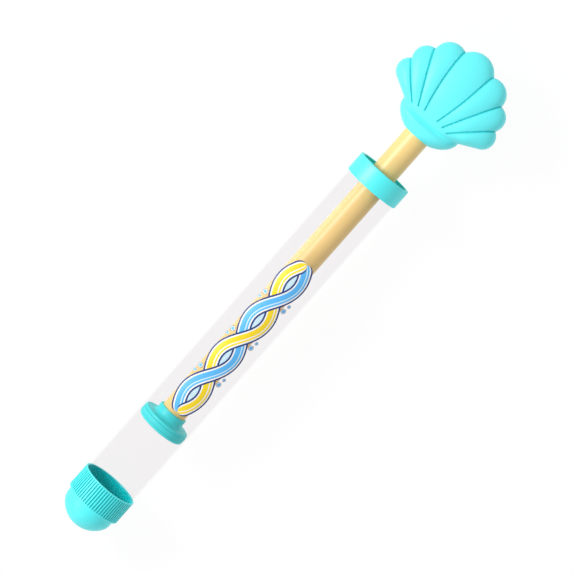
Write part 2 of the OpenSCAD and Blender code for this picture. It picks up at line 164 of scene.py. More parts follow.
def clearMaterial(name, s):
    material, tree, output = newMaterial(name)
    skin = skinNode(tree, drawnGroup, s["colour"], s["roughness"], s["tone"], s["grain"])
    passing = addNode(tree, "ShaderNodeBsdfTransparent", {}, {"Color": skin.outputs["Colour"]})
    shine = addNode(tree, "ShaderNodeBsdfGlossy", {"Color": (1, 1, 1, 1)}, {"Roughness": skin.outputs["Roughness"]})
    facing = addNode(tree, "ShaderNodeFresnel", {"IOR": s["ior"]})
    path = tree.nodes.new("ShaderNodeLightPath")
    side = tree.nodes.new("ShaderNodeNewGeometry")
    front = mathNode(tree, "SUBTRACT", path.outputs["Is Camera Ray"], side.outputs["Backfacing"])
    share = mathNode(tree, "MULTIPLY", mathNode(tree, "MULTIPLY", facing.outputs["Fac"], s["gloss"]),
                     mathNode(tree, "MAXIMUM", front, 0.0))
    mix = addNode(tree, "ShaderNodeMixShader", {}, {"Fac": share})
    tree.links.new(passing.outputs["BSDF"], mix.inputs[1])
    tree.links.new(shine.outputs["BSDF"], mix.inputs[2])
    tree.links.new(mix.outputs["Shader"], output.inputs["Surface"])
    return material


clearTube = clearMaterial("clearTube", clearSet)
aquaPlastic = solidMaterial("aquaPlastic", mouldedGroup, (0.062, 0.865, 0.895), 0.46, specular=0.9)
aquaPaintedShade = solidMaterial("aquaPaintedShade", mouldedGroup, (0.03, 0.62, 0.64), 0.5, specular=0.1)  # painted shade in the cap's rib grooves and the collar's dish
aquaShadedInside = solidMaterial("aquaShadedInside", mouldedGroup, (0.006, 0.95, 0.97), 0.5, specular=0.05)  # socket wall: a copy of the aqua with no red and little gloss, painted shade
aquaDeepShade = solidMaterial("aquaDeepShade", mouldedGroup, (0.004, 0.80, 0.82), 0.5, specular=0.05)  # painted shade in the flutes in the socket
# the piston is a darker copy of the aqua: painted shade inside the tube
pistonShadedAqua = solidMaterial("pistonShadedAqua", mouldedGroup, (0.065, 0.74, 0.76), 0.42, specular=0.3)
shellPlastic = solidMaterial("shellPlastic", mouldedGroup, (0.135, 0.90, 0.94), 0.46, specular=0.42)
shellPaintedShade = solidMaterial("shellPaintedShade", mouldedGroup, (0.07, 0.70, 0.73), 0.5, specular=0.2)  # painted shade on the groove floors
rodPlastic = solidMaterial("rodPlastic", drawnGroup, (0.93, 0.65, 0.25), 0.38)
gasketRubber = solidMaterial("gasketRubber", mouldedGroup, (0.80, 0.81, 0.80), 0.6, grain=0.05, specular=0.3)
# the seal's aqua is darkened with the piston's, painted shade, so its band doesn't show
sealRubber = solidMaterial("sealRubber", mouldedGroup, (0.062, 0.71, 0.73), 0.5, grain=0.05, specular=0.3)
screwSteel = solidMaterial("screwSteel", mouldedGroup, (0.55, 0.55, 0.56), 0.3, metallic=1.0)

inkSet = {"roughness": 0.45, "tone": 0.02,
          "colours": {"navy": (0.008, 0.030, 0.17), "white": (0.92, 0.92, 0.92), "yellow": (0.95, 0.70, 0.01),
                      "sky": (0.10, 0.48, 0.92), "pale": (0.62, 0.84, 0.96)}}
inks = {name: solidMaterial("ink" + name.capitalize(), mouldedGroup, colour, inkSet["roughness"], tone=inkSet["tone"])
        for name, colour in inkSet["colours"].items()}
print("stage 2: materials made")


# shared building steps

pieceWeld = 1e-7  # vertices closer than this become one, in metres
spinWeld = 2e-7
printWeld = 1e-6
spinDoublings = 6  # a turned piece is one sector, doubled this often


def smoothStep(low, high, value):
    share = min(1.0, max(0.0, (value - low) / (high - low)))
    return share * share * (3 - 2 * share)


def blend(first, second, share):
    return first + (second - first) * share


def tidyShading(piece, sharpAngle):
    piece.data.polygons.foreach_set("use_smooth", [True] * len(piece.data.polygons))
    piece.data.set_sharp_from_angle(angle=math.radians(sharpAngle))


def keepPiece(name, bm, materials, body, node, sharpAngle=32):
    bmesh.ops.remove_doubles(bm, verts=bm.verts, dist=pieceWeld)
    bmesh.ops.recalc_face_normals(bm, faces=bm.faces)
    mesh = bpy.data.meshes.new(name)
    bm.to_mesh(mesh)
    bm.free()
    for material in materials if isinstance(materials, tuple) else (materials,):
        mesh.materials.append(material)
    piece = bpy.data.objects.new(name, mesh)
    tidyShading(piece, sharpAngle)
    scene.collection.objects.link(piece)
    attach(piece, body)
    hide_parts(node)
    return piece


# an outline is a closed row of (along, radius, rounding), in mm
def spinOutline(outline, toPoint, centre, axis, steps, segments):
    bm = bmesh.new()
    corners = [bm.verts.new(toPoint(along, radius)) for along, radius, _ in outline]
    for index, corner in enumerate(corners):
        bm.edges.new((corner, corners[(index + 1) % len(corners)]))
    for size in sorted({spot[2] for spot in outline if spot[2] > 0}):
        chosen = [corner for corner, spot in zip(corners, outline) if spot[2] == size]
        bmesh.ops.bevel(bm, geom=chosen, offset=size * mm, offset_type="OFFSET", segments=segments, profile=0.5,
                        affect="VERTICES", material=-1, clamp_overlap=False)
    sector = 2 * math.pi / 2 ** spinDoublings
    bmesh.ops.spin(bm, geom=bm.verts[:] + bm.edges[:], cent=centre, axis=axis, dvec=(0, 0, 0), angle=sector,
                   steps=max(1, steps // 2 ** spinDoublings), use_merge=False)
    for step in range(spinDoublings):
        copied = bmesh.ops.duplicate(bm, geom=bm.verts[:] + bm.edges[:] + bm.faces[:])["geom"]
        bmesh.ops.rotate(bm, verts=[item for item in copied if isinstance(item, bmesh.types.BMVert)], cent=centre,
                         matrix=Matrix.Rotation(sector * 2 ** step, 3, axis))
    bmesh.ops.remove_doubles(bm, verts=bm.verts, dist=spinWeld)
    return bm


def lathe(outline, steps, segments=5):
    return spinOutline(outline, lambda along, radius: (jetX + along * mm, 0, axisZ + radius * mm),
                       (0, 0, axisZ), (1, 0, 0), steps, segments)


def plainRing(node, s):
    low, high = ends[node]
    return lathe([(low, s["inner"], s["innerRound"]), (low, s["outer"], s["outerRound"]),
                  (high, s["outer"], s["outerRound"]), (high, s["inner"], s["innerRound"])], s["steps"])


def polarOf(point):
    return (point.x - jetX) / mm, math.hypot(point.y, point.z - axisZ) / mm, math.atan2(point.y, point.z - axisZ)


def scaleRadius(vert, factor):
    vert.co.y *= factor
    vert.co.z = axisZ + (vert.co.z - axisZ) * factor


def addCylinder(bm, start, end, radius, segments=48):
    way = Vector(end) - Vector(start)
    place = Matrix.Translation((Vector(start) + Vector(end)) / 2) @ way.to_track_quat("Z", "Y").to_matrix().to_4x4()
    bmesh.ops.create_cone(bm, cap_ends=True, segments=segments, radius1=radius, radius2=radius, depth=way.length,
                          matrix=place)


def combine(piece, tools, operation, sharpAngle=32):
    mesh = bpy.data.meshes.new("tool")
    bmesh.ops.recalc_face_normals(tools, faces=tools.faces)
    tools.to_mesh(mesh)
    tools.free()
    tool = bpy.data.objects.new("tool", mesh)
    scene.collection.objects.link(tool)
    step = piece.modifiers.new("step", "BOOLEAN")
    step.operation = operation
    step.solver = "EXACT"
    step.object = tool
    bpy.context.view_layer.update()
    made = bpy.data.meshes.new_from_object(piece.evaluated_get(bpy.context.evaluated_depsgraph_get()))
    piece.modifiers.remove(step)
    old = piece.data
    name = old.name
    piece.data = made
    bpy.data.meshes.remove(old)
    made.name = name
    bpy.data.objects.remove(tool)
    bpy.data.meshes.remove(mesh)
    tidyShading(piece, sharpAngle)


# barrel

barrelSet = {"inner": 18.9, "outer": 20.0, "innerRound": 0.3, "outerRound": 0.3, "steps": 256}
keepPiece("barrelTube", plainRing("barrel", barrelSet), clearTube, "barrel", "barrel")

# nozzle cap

capSet = {
    "skirtHigh": 19.0, "seatHigh": 2.0, "outer": 21.5, "socket": 20.05, "dome": 19.3, "domeHigh": 15.65,
    "shoulder": 11.5, "domeWall": 2.0, "neck": 3.4, "face": 3.0, "jet": 1.75, "boss": 4.25, "bossLong": 5.0,
    "jetLip": 0.3, "jetLipDeep": 0.35, "chamfer": 0.6, "band": 0.6, "ribs": 64, "perRib": 12, "ribDeep": 0.68,
    "ribIn": 0.05, "ribShares": (0.24, 0.34), "fluteDeep": 0.35, "fluteShares": (0.16, 0.26), "fluteOver": 2.4,
    "fluteUnder": 0.9, "fade": 0.3, "fadeRows": (0.0, 0.15, 0.3, 0.5, 0.8), "faceRound": 0.35, "domeFillet": 0.25,
    "chamferRounds": (0.15, 0.2), "rimRound": 0.45, "seatRound": 0.3, "bossRound": 0.4, "boreRound": 0.2,
    "arcSteps": 14, "segments": 4, "near": 0.02, "midWall": 0.5, "sharp": 40,
}


# a flat crown arc that runs into a tighter shoulder arc
def domeArc(s, mid, inset, lowest):
    shift = s["dome"] - s["shoulder"]
    over = s["domeHigh"] - s["shoulder"]
    lift = (shift * shift - over * over) / (2 * over)
    crown, shoulder = s["domeHigh"] + lift - inset, s["shoulder"] - inset
    first, change = math.asin(lowest / crown), math.atan2(shift, lift)
    points = []
    for step in range(s["arcSteps"] + 1):
        turn = blend(first, change, step / s["arcSteps"])
        points.append((mid + lift - crown * math.cos(turn), crown * math.sin(turn), 0.0))
    for step in range(1, s["arcSteps"] + 1):
        turn = blend(change, math.pi / 2, step / s["arcSteps"])
        points.append((mid - shoulder * math.cos(turn), shift + shoulder * math.sin(turn), 0.0))
    return points


def endFade(run, along, low, top):
    return smoothStep(0, run, along - low) * smoothStep(0, run, top - along)


def makeCap(s):
    top = ends["nozzle_cap"][1]
    low = top - s["skirtHigh"]
    mid = low - s["neck"]
    seat = low + s["seatHigh"]
    ribLow, ribTop = low + s["chamfer"] + s["band"], top - s["band"]
    fluteLow, fluteTop = seat + s["fluteOver"], top - s["fluteUnder"]
    outside = domeArc(s, mid, 0.0, s["face"])
    inside = domeArc(s, mid, s["domeWall"], s["boss"])
    rows, near = s["fadeRows"], s["near"]
    outline = [(0, s["jet"] + s["jetLip"], 0.0), (0, s["face"], s["faceRound"])] + outside[1:]
    outline += [(low, s["dome"], s["domeFillet"]), (low, s["outer"] - s["chamfer"], s["chamferRounds"][0]),
                (low + s["chamfer"], s["outer"], s["chamferRounds"][1])]
    outline += [(ribLow + row, s["outer"], 0.0) for row in rows]
    outline += [(ribTop - row, s["outer"], 0.0) for row in reversed(rows)]
    outline += [(top, s["outer"], s["rimRound"]), (top, s["socket"], s["rimRound"])]
    outline += [(fluteTop - row, s["socket"], 0.0) for row in rows]
    outline += [(fluteLow + row, s["socket"], 0.0) for row in reversed(rows)]
    outline += [(seat, s["socket"], 0.0), (seat, inside[-1][1], s["seatRound"])]
    outline += list(reversed(inside[1:]))
    outline += [(inside[0][0], s["boss"], s["bossRound"]), (s["bossLong"], s["boss"], s["bossRound"]),
                (s["bossLong"], s["jet"], s["boreRound"]), (s["jetLipDeep"], s["jet"], 0.0)]
    bm = lathe(outline, s["ribs"] * s["perRib"], s["segments"])
    for vert in bm.verts:  # grooves between the ribs, and flutes behind them
        along, radius, turn = polarOf(vert.co)
        share = abs((turn * s["ribs"] / (2 * math.pi) + 0.5) % 1 - 0.5)
        if radius > s["outer"] - near and ribLow - near < along < ribTop + near:
            groove = s["ribIn"] + s["ribDeep"] * smoothStep(*s["ribShares"], share)
            scaleRadius(vert, 1 - endFade(s["fade"], along, ribLow, ribTop) * groove / radius)
        elif abs(radius - s["socket"]) < near and fluteLow - near < along < fluteTop + near:
            flute = s["fluteDeep"] * (1 - smoothStep(*s["fluteShares"], share))
            scaleRadius(vert, 1 + endFade(s["fade"], along, fluteLow, fluteTop) * flute / radius)
    middle = s["socket"] + s["midWall"]
    for face in bm.faces:  # numbers of the four materials below: plain aqua, painted shade in the rib grooves, the shaded copy on the socket wall and deeper painted shade in the flutes
        along, radius, _ = polarOf(face.calc_center_median())
        if ribLow < along < ribTop and middle < radius < s["outer"] - s["ribDeep"] / 2:
            face.material_index = 1
        elif seat < along < fluteTop and s["socket"] - near < radius < middle:
            face.material_index = 3 if radius > s["socket"] + s["fluteDeep"] / 3 else 2
    keepPiece("nozzleCap", bm, (aquaPlastic, aquaPaintedShade, aquaShadedInside, aquaDeepShade), "barrel", "nozzle_cap",
              s["sharp"])


makeCap(capSet)

# gasket

gasketSet = {"inner": 17.4, "outer": 20.0, "innerRound": 0.3, "outerRound": 0.3, "steps": 192}
keepPiece("capGasket", plainRing("cap_gasket", gasketSet), gasketRubber, "barrel", "cap_gasket")

# end collar

collarSet = {
    "outer": 21.2, "socket": 20.05, "dish": 18.95, "dishDeep": 2.0, "web": 2.0, "guide": 9.6, "guideOuter": 11.6,
    "guideLong": 6.0, "round": 0.7, "mouthRound": 0.25, "lipRound": 0.35, "edgeRound": 0.3, "guideFillet": 0.4,
    "seatFillet": 0.2, "shadeUnder": 0.1, "shadeRim": 0.3, "shadeOver": 0.05, "vents": 4, "ventTurn": 45, "vent": 1.2,
    "ventOver": 1.0, "ventSegments": 32, "steps": 256,
}


def makeCollar(s):
    low, top = ends["end_collar"]
    floor = top - s["dishDeep"]
    seat = floor - s["web"]
    guideLow = seat - s["guideLong"]
    bm = lathe([(low, s["socket"], s["mouthRound"]), (low, s["outer"], s["round"]), (top, s["outer"], s["round"]),
                (top, s["dish"], s["lipRound"]), (floor, s["dish"], s["edgeRound"]),
                (floor, s["guide"], s["edgeRound"]), (guideLow, s["guide"], s["edgeRound"]),
                (guideLow, s["guideOuter"], s["edgeRound"]), (seat, s["guideOuter"], s["guideFillet"]),
                (seat, s["socket"], s["seatFillet"])], s["steps"])
    # the dish's wall and floor take the painted shade
    for face in bm.faces:
        along, radius, _ = polarOf(face.calc_center_median())
        if floor - s["shadeUnder"] < along < top - s["shadeRim"] and radius < s["dish"] + s["shadeOver"]:
            face.material_index = 1
    collar = keepPiece("endCollar", bm, (aquaPlastic, aquaPaintedShade), "barrel", "end_collar")
    tools = bmesh.new()
    for index in range(s["vents"]):
        turn = math.radians(s["ventTurn"] + 360 * index / s["vents"])
        side = Vector((0, math.cos(turn), math.sin(turn))) * s["guide"] * mm
        addCylinder(tools, side + Vector((jetX + (guideLow - s["ventOver"]) * mm, 0, axisZ)),
                    side + Vector((jetX + (top + s["ventOver"]) * mm, 0, axisZ)), s["vent"] * mm, s["ventSegments"])
    combine(collar, tools, "DIFFERENCE")


makeCollar(collarSet)
print("stage 3: barrel parts made")

# shell handle: a rounded foot and a fan of lobes, flat on (across, along), with the height above the parting plane

shellSet = {
    "angles": (13.5, 35.5, 54.8, 74.5), "reaches": (55.2, 52.0, 46.9, 39.7), "root": 11.2,
    "footWide": 49.2, "footHigh": 14.8, "thick": 30.0, "creaseStep": 2.7, "creaseSag": 2.4, "creaseGap": 0.5,
    "lobeRise": 0.29, "lobeCrown": 1.2, "pitch": 4.45, "bow": 1.6, "grooveWide": 1.6, "grooveDeep": 1.0,
    "grooveWall": 0.5, "grooveShade": 0.5, "wall": 2.2, "footShape": 1.9, "footEnd": 11.2, "crownShape": 2.9,
    "edgeShape": 2.6, "rimShape": 0.31, "rimPull": 3, "sideRun": 0.5, "crownRun": 0.6, "lipRun": 0.05,
    "lipDrop": 0.035, "grooveStart": 0.1, "grooveFade": 0.009, "innerRise": 0.6, "innerMid": 0.4, "valleyRun": 0.58,
    "rodSeat": 9.5, "rodLong": 38.0, "seam": 0.08, "sideFit": 0.9984, "weld": 1e-5, "sharp": 40,
    "footRows": 24, "fanRows": 52, "fanTurn": 88.6, "rimTurns": (0.7, 0.3, 0.1, 0.0), "midSteps": 9, "edgeSteps": 26,
    "grooveCols": (0.0, 0.22, 0.42, 0.49, 0.57, 0.67, 0.8, 1.05),
    "lipRows": (0.0, 0.006, 0.013, 0.021, 0.03, 0.04, 0.052, 0.066, 0.08, 0.09, 0.095, 0.1, 0.105, 0.11, 0.12),
}
sideLines = len(shellSet["angles"])  # lines between lobes on each side, the fan's edge included
lobeCount = 2 * sideLines - 1
tiny = 1e-6


def bulge(share, power):
    return max(0.0, 1 - min(1.0, abs(share)) ** power) ** (1 / power)


def creaseAt(s, across):
    return s["footHigh"] - s["creaseSag"] * (1 - (2 * across / s["footWide"]) ** 2)


def lobeLines(s, inset):
    lines = []
    innerMid = Vector((0, s["root"] + s["innerMid"] * s["reaches"][0]))
    for index in range(2 * sideLines):
        side = -1 if index < sideLines else 1
        rank = sideLines - 1 - index if side < 0 else index - sideLines
        atEdge = rank == sideLines - 1
        baseX = side * (s["footWide"] / 2 if atEdge else (rank + 1) * s["pitch"])
        base = Vector((baseX * (1 - 2 * inset / s["footWide"]), creaseAt(s, baseX) + s["innerRise"] * inset))
        turn = math.radians(s["angles"][rank])
        rim = Vector((side * s["reaches"][rank] * math.sin(turn), s["root"] + s["reaches"][rank] * math.cos(turn)))
        rim += inset * (innerMid - rim).normalized()
        if atEdge:
            rim.y += inset / 2
        lines.append({"baseX": baseX, "base": base, "rim": rim, "bow": side * s["bow"] if rank == 0 else 0.0})
    return lines


def linePoint(line, rise):
    return line["base"].lerp(line["rim"], rise) + Vector((line["bow"] * math.sin(math.pi * rise), 0))


def lobeArc(s, lines, lobe, share):
    start, end = lines[lobe]["rim"], lines[lobe + 1]["rim"]
    chord = (end - start).length
    high = s["lobeRise"] * chord
    radius = (chord * chord / 4 + high * high) / (2 * high)
    arc = math.sqrt(max(0.0, radius * radius - ((share - 0.5) * chord) ** 2)) - (radius - high)
    return Vector((start.y - end.y, end.x - start.x)) / chord * arc


def fanPlace(s, lines, points, lobe, share, rise):
    return points[lobe].lerp(points[lobe + 1], share) + lobeArc(s, lines, lobe, share) * rise ** s["rimPull"]


def baseShareAt(s, lines, lobe, share):
    return blend(lines[lobe]["baseX"], lines[lobe + 1]["baseX"], share) * 2 / s["footWide"]


def fanHeight(s, inset, lobe, share, rise, baseShare, wide):
    first, last = lobe == 0, lobe == lobeCount - 1
    edge = bulge(1 - share, s["edgeShape"]) if first else bulge(share, s["edgeShape"]) if last else 1.0
    across = blend(bulge(baseShare, s["crownShape"]), edge, smoothStep(0, s["sideRun"], rise))
    lip = 1 - s["lipDrop"] * (1 - smoothStep(0, s["lipRun"], rise))
    high = s["thick"] / 2 - inset
    cut = 0.0
    if inset == 0:  # crowns and grooves are on the outside alone
        high += s["lobeCrown"] * smoothStep(0, s["crownRun"], rise) * 4 * share * (1 - share)
        near = min(math.inf if first else share * wide, math.inf if last else (1 - share) * wide)
        if near < s["grooveWide"] / 2:
            start, fade = s["grooveStart"], s["grooveFade"]
            cut = (s["grooveDeep"] * smoothStep(start - fade, start + fade, rise)
                   * (1 - smoothStep(s["grooveWall"], 1.0, 2 * near / s["grooveWide"])))
    return max(0.0, high * lip * across * (1 - rise * rise) ** s["rimShape"] - cut)


def footStart(s):
    return math.asin((2 * s["footEnd"] / s["footWide"]) ** (s["footShape"] / 2))


def footPoint(s, inset, turn, across):
    footLow = math.cos(footStart(s)) ** (2 / s["footShape"])
    half = s["footWide"] / 2 * math.sin(turn) ** (2 / s["footShape"])
    up = (footLow - max(0.0, math.cos(turn)) ** (2 / s["footShape"])) / footLow
    wide = (half - s["footEnd"]) / (s["footWide"] / 2 - s["footEnd"])
    deep = blend(s["footEnd"], s["thick"] / 2 - s["creaseStep"] * smoothStep(s["valleyRun"], 1.0, up), wide)
    along = up * (creaseAt(s, across * s["footWide"] / 2) - s["creaseGap"]) + inset * blend(1, s["innerRise"], up)
    return Vector((across * (half - inset), along, (deep - inset) * bulge(across, blend(2, s["crownShape"], up))))


# columns run across the lobes, close together beside the grooves and at the fan's edges
def shellColumns(s):
    columns = []
    near, mid, edge = s["grooveCols"], s["midSteps"], s["edgeSteps"]
    last = lobeCount - 1
    for lobe in range(lobeCount):
        if lobe == 0:
            columns += [(lobe, "left", 1 - math.cos(math.pi / 2 * step / edge)) for step in range(edge)]
        else:
            columns += [(lobe, "low", gap) for gap in near]
        if 0 < lobe < last:
            columns += [(lobe, "mid", step / mid) for step in range(1, mid)]
        if lobe == last:
            columns += [(lobe, "right", math.sin(math.pi / 2 * step / edge)) for step in range(1, edge + 1)]
        else:
            columns += [(lobe, "high", gap) for gap in reversed(near[1:])]
    return columns


def columnShare(s, column, wide):
    _, kind, value = column
    reach = s["grooveCols"][-1]
    if kind == "low":
        return value / wide
    if kind == "high":
        return 1 - value / wide
    if kind == "mid":
        return (reach + value * (wide - 2 * reach)) / wide
    if kind == "left":
        return value * (wide - reach) / wide
    return (reach + value * (wide - reach)) / wide


# rows climb the foot by angle and then the fan by share
def shellRows(s):
    rows = [("foot", blend(footStart(s), math.pi / 2, step / s["footRows"])) for step in range(s["footRows"] + 1)]
    rows += [("fan", rise) for rise in s["lipRows"]]
    first = math.asin(s["lipRows"][-1])
    rows += [("fan", math.sin(blend(first, math.radians(s["fanTurn"]), step / s["fanRows"])))
             for step in range(1, s["fanRows"] + 1)]
    rows += [("fan", math.cos(math.radians(turn))) for turn in s["rimTurns"]]
    return rows


def shellSheet(bm, s, inset, columns, rows):
    lines = lobeLines(s, inset)
    verts = bmesh.ops.create_grid(bm, x_segments=len(columns) - 1, y_segments=len(rows) - 1, size=1)["verts"]
    for rowIndex, (kind, value) in enumerate(rows):
        rise = value if kind == "fan" else 0.0
        points = [linePoint(line, rise) for line in lines]
        gaps = [(points[lobe + 1] - points[lobe]).length for lobe in range(lobeCount)]
        for columnIndex, column in enumerate(columns):
            lobe = column[0]
            share = columnShare(s, column, gaps[lobe])
            baseShare = baseShareAt(s, lines, lobe, share)
            if kind == "foot":
                place = footPoint(s, inset, value, max(-1.0, min(1.0, baseShare)))
            else:
                flat = fanPlace(s, lines, points, lobe, share, rise)
                place = Vector((flat.x, flat.y, fanHeight(s, inset, lobe, share, rise, baseShare, gaps[lobe])))
            verts[rowIndex * len(columns) + columnIndex].co = place
    return verts


def makeShellHalf(s):
    bm = bmesh.new()
    columns, rows = shellColumns(s), shellRows(s)
    outer = shellSheet(bm, s, 0, columns, rows)
    spots = {vert: divmod(index, len(columns)) for index, vert in enumerate(outer)}
    # the groove floors take the painted shade
    for face in bm.faces:
        cells = [(rows[spots[vert][0]], columns[spots[vert][1]]) for vert in face.verts]
        if all(row[0] == "fan" and row[1] >= s["grooveStart"] and column[1] in ("low", "high")
               and column[2] < s["grooveShade"] for row, column in cells):
            face.material_index = 1
    rimEdges = [edge for edge in bm.edges if edge.is_boundary]
    inner = shellSheet(bm, s, s["wall"], columns, rows)
    for vert in inner[:len(columns)]:  # the foot's end is flat
        vert.co.y = 0.0
    for vert in inner:  # the inner sheet keeps clear of the rod
        reach = math.hypot(vert.co.x, vert.co.z)
        if reach < s["rodSeat"] and vert.co.y < s["rodLong"]:
            vert.co.x *= s["rodSeat"] / max(reach, tiny)
            vert.co.z *= s["rodSeat"] / max(reach, tiny)
    partner = {vert: inner[index] for index, vert in enumerate(outer)}
    grown = bmesh.ops.extrude_edge_only(bm, edges=rimEdges)["geom"]
    for vert in [item for item in grown if isinstance(item, bmesh.types.BMVert)]:
        root = next(edge.other_vert(vert) for edge in vert.link_edges if edge.other_vert(vert) in partner)
        vert.co = partner[root].co
    for vert in {vert for edge in rimEdges for vert in edge.verts}:  # a fine parting line
        if vert.co.z < tiny:
            vert.co += (partner[vert].co - vert.co).normalized() * s["seam"]
    bmesh.ops.remove_doubles(bm, verts=bm.verts, dist=s["weld"])
    return bm


def placeShell(bm, side):
    for vert in bm.verts:
        across, along, high = vert.co
        vert.co = (handleX + along * mm, -across * shellSet["sideFit"] * mm, axisZ + side * high * mm)


# spots are lobe, share of its width and share of the way to the rim
screwSet = {
    "spots": ((3, 0.5, 0.24), (1, 0.5, 0.6), (5, 0.5, 0.6)), "seat": 10.6, "head": 2.75, "headHigh": 2.0,
    "shank": 1.45, "long": 16.0, "headHole": 3.0, "shankHole": 1.5, "holeReach": 30.0, "holeOver": 1.0, "boss": 4.3,
    "rodHole": 3.75, "rodReach": 20.0, "tip": 0.05, "crownHigh": 0.15, "crownShare": 0.55, "crownRound": 0.3,
    "headSide": 0.9, "headRound": 0.5, "headEdge": 0.2, "taper": 2.0, "taperRound": 0.3, "slotWide": 0.7,
    "slotLong": 3.0, "slotDeep": 1.1, "slotTurns": (20, 110), "steps": 64, "segments": 4,
}


def screwPlaces(s, shell):
    places = []
    lines = lobeLines(shell, 0)
    for lobe, share, rise in s["spots"]:
        points = [linePoint(line, rise) for line in lines]
        flat = fanPlace(shell, lines, points, lobe, share, rise)
        wide = (points[lobe + 1] - points[lobe]).length
        inner = fanHeight(shell, shell["wall"], lobe, share, rise, baseShareAt(shell, lines, lobe, share), wide)
        places.append((handleX + flat.y * mm, -flat.x * mm, inner + shell["wall"] / 2))
    return places


places = screwPlaces(screwSet, shellSet)


def alongZ(place, low, high):
    return (place[0], place[1], axisZ + low * mm), (place[0], place[1], axisZ + high * mm)


def makeShells(s, shell):
    skins = (shellPlastic, shellPaintedShade)
    half = makeShellHalf(shell)
    front = half.copy()
    placeShell(front, 1)
    placeShell(half, -1)
    keepPiece("shellFront", front, skins, "plunger", "handle_front", shell["sharp"])
    rear = keepPiece("shellRear", half, skins, "plunger", "handle_rear", shell["sharp"])
    bosses, holes = bmesh.new(), bmesh.new()
    for place in places:
        addCylinder(bosses, *alongZ(place, -place[2], -shell["rodSeat"]), s["boss"] * mm)
        addCylinder(holes, *alongZ(place, -s["holeReach"], -s["seat"]), s["headHole"] * mm)
        addCylinder(holes, *alongZ(place, -s["seat"] - s["holeOver"], 0), s["shankHole"] * mm)
    combine(rear, bosses, "UNION", shell["sharp"])
    combine(rear, holes, "DIFFERENCE", shell["sharp"])


makeShells(screwSet, shellSet)


def makeScrews(s):
    joined = bmesh.new()
    top, bottom = -s["seat"] - s["headHigh"], -s["seat"]
    outline = [(top, s["tip"], 0.0), (top + s["crownHigh"], s["head"] * s["crownShare"], s["crownRound"]),
               (top + s["headSide"], s["head"], s["headRound"]), (bottom, s["head"], s["headEdge"]),
               (bottom, s["shank"], 0.0), (bottom + s["long"] - s["taper"], s["shank"], s["taperRound"]),
               (bottom + s["long"], s["tip"], 0.0)]
    for place in places:
        single = spinOutline(outline, lambda high, radius: (place[0] + radius * mm, place[1], axisZ + high * mm),
                             (place[0], place[1], 0), (0, 0, 1), s["steps"], s["segments"])
        mesh = bpy.data.meshes.new("single")
        single.to_mesh(mesh)
        single.free()
        joined.from_mesh(mesh)
        bpy.data.meshes.remove(mesh)
    screws = keepPiece("handleScrews", joined, screwSteel, "plunger", "handle_screws")
    size = Matrix.Diagonal((s["slotLong"] * mm, s["slotWide"] * mm, 2 * s["slotDeep"] * mm, 1))
    for turn in s["slotTurns"]:  # crossing cutters go in one at a time
        slots = bmesh.new()
        for place in places:
            spot = Matrix.Translation((place[0], place[1], axisZ + top * mm))
            bmesh.ops.create_cube(slots, size=1, matrix=spot @ Matrix.Rotation(math.radians(turn), 4, "Z") @ size)
        combine(screws, slots, "DIFFERENCE")


makeScrews(screwSet)
print("stage 4: shell handle made")

# plunger rod, cross-drilled for the lower screw's boss

rodSet = {"inner": 7.85, "outer": 9.45, "innerRound": 0.3, "outerRound": 0.3, "steps": 192}


def makeRod(s):
    rod = keepPiece("plungerRod", plainRing("plunger_rod", s), rodPlastic, "plunger", "plunger_rod")
    hole = bmesh.new()
    addCylinder(hole, *alongZ(places[0], -screwSet["rodReach"], screwSet["rodReach"]), screwSet["rodHole"] * mm)
    combine(rod, hole, "DIFFERENCE")


makeRod(rodSet)

# piston

pistonSet = {
    "disc": 18.55, "discHigh": 8.5, "groove": 16.1, "grooveGap": 0.1, "hub": 11.0, "rodSeat": 9.5, "dish": 12.0,
    "dishDeep": 2.0, "middle": 0.4, "middleReach": 0.5, "dishFillet": 0.5, "dishRound": 0.35, "lowRound": 1.7,
    "topRound": 1.3, "grooveEdge": 0.1, "grooveFillet": 0.2, "hubRound": 3.4, "hubEdge": 0.6, "seatEdge": 0.3,
    "steps": 256,
}


def makePiston(s):
    low, top = ends["piston"]
    sealLow, sealTop = ends["piston_seal"]
    grooveLow, grooveTop = sealLow - s["grooveGap"], sealTop + s["grooveGap"]
    discTop, rodLow = low + s["discHigh"], ends["plunger_rod"][0]
    bm = lathe([(low + s["dishDeep"], s["middle"], 0.0), (low + s["dishDeep"], s["dish"], s["dishFillet"]),
                (low, s["dish"], s["dishRound"]), (low, s["disc"], s["lowRound"]),
                (grooveLow, s["disc"], s["grooveEdge"]), (grooveLow, s["groove"], s["grooveFillet"]),
                (grooveTop, s["groove"], s["grooveFillet"]), (grooveTop, s["disc"], s["grooveEdge"]),
                (discTop, s["disc"], s["topRound"]), (discTop, s["hub"], s["hubRound"]),
                (top, s["hub"], s["hubEdge"]), (top, s["rodSeat"], s["seatEdge"]),
                (rodLow, s["rodSeat"], 0.0), (rodLow, s["middle"], 0.0)], s["steps"])
    middle = [face for face in bm.faces if all(polarOf(vert.co)[1] < s["middleReach"] for vert in face.verts)]
    bmesh.ops.delete(bm, geom=middle, context="FACES")
    bmesh.ops.holes_fill(bm, edges=[edge for edge in bm.edges if edge.is_boundary], sides=0)
    keepPiece("pistonHead", bm, pistonShadedAqua, "plunger", "piston")


makePiston(pistonSet)

# piston seal

sealSet = {"inner": 16.2, "outer": 18.8, "innerRound": 0.2, "outerRound": 0.35, "steps": 256}
keepPiece("pistonSeal", plainRing("piston_seal", sealSet), sealRubber, "seal", "piston_seal")
print("stage 5: plunger parts made")

# print on the barrel: two braided ribbons with bubbles, in layers of ink, half width and lift

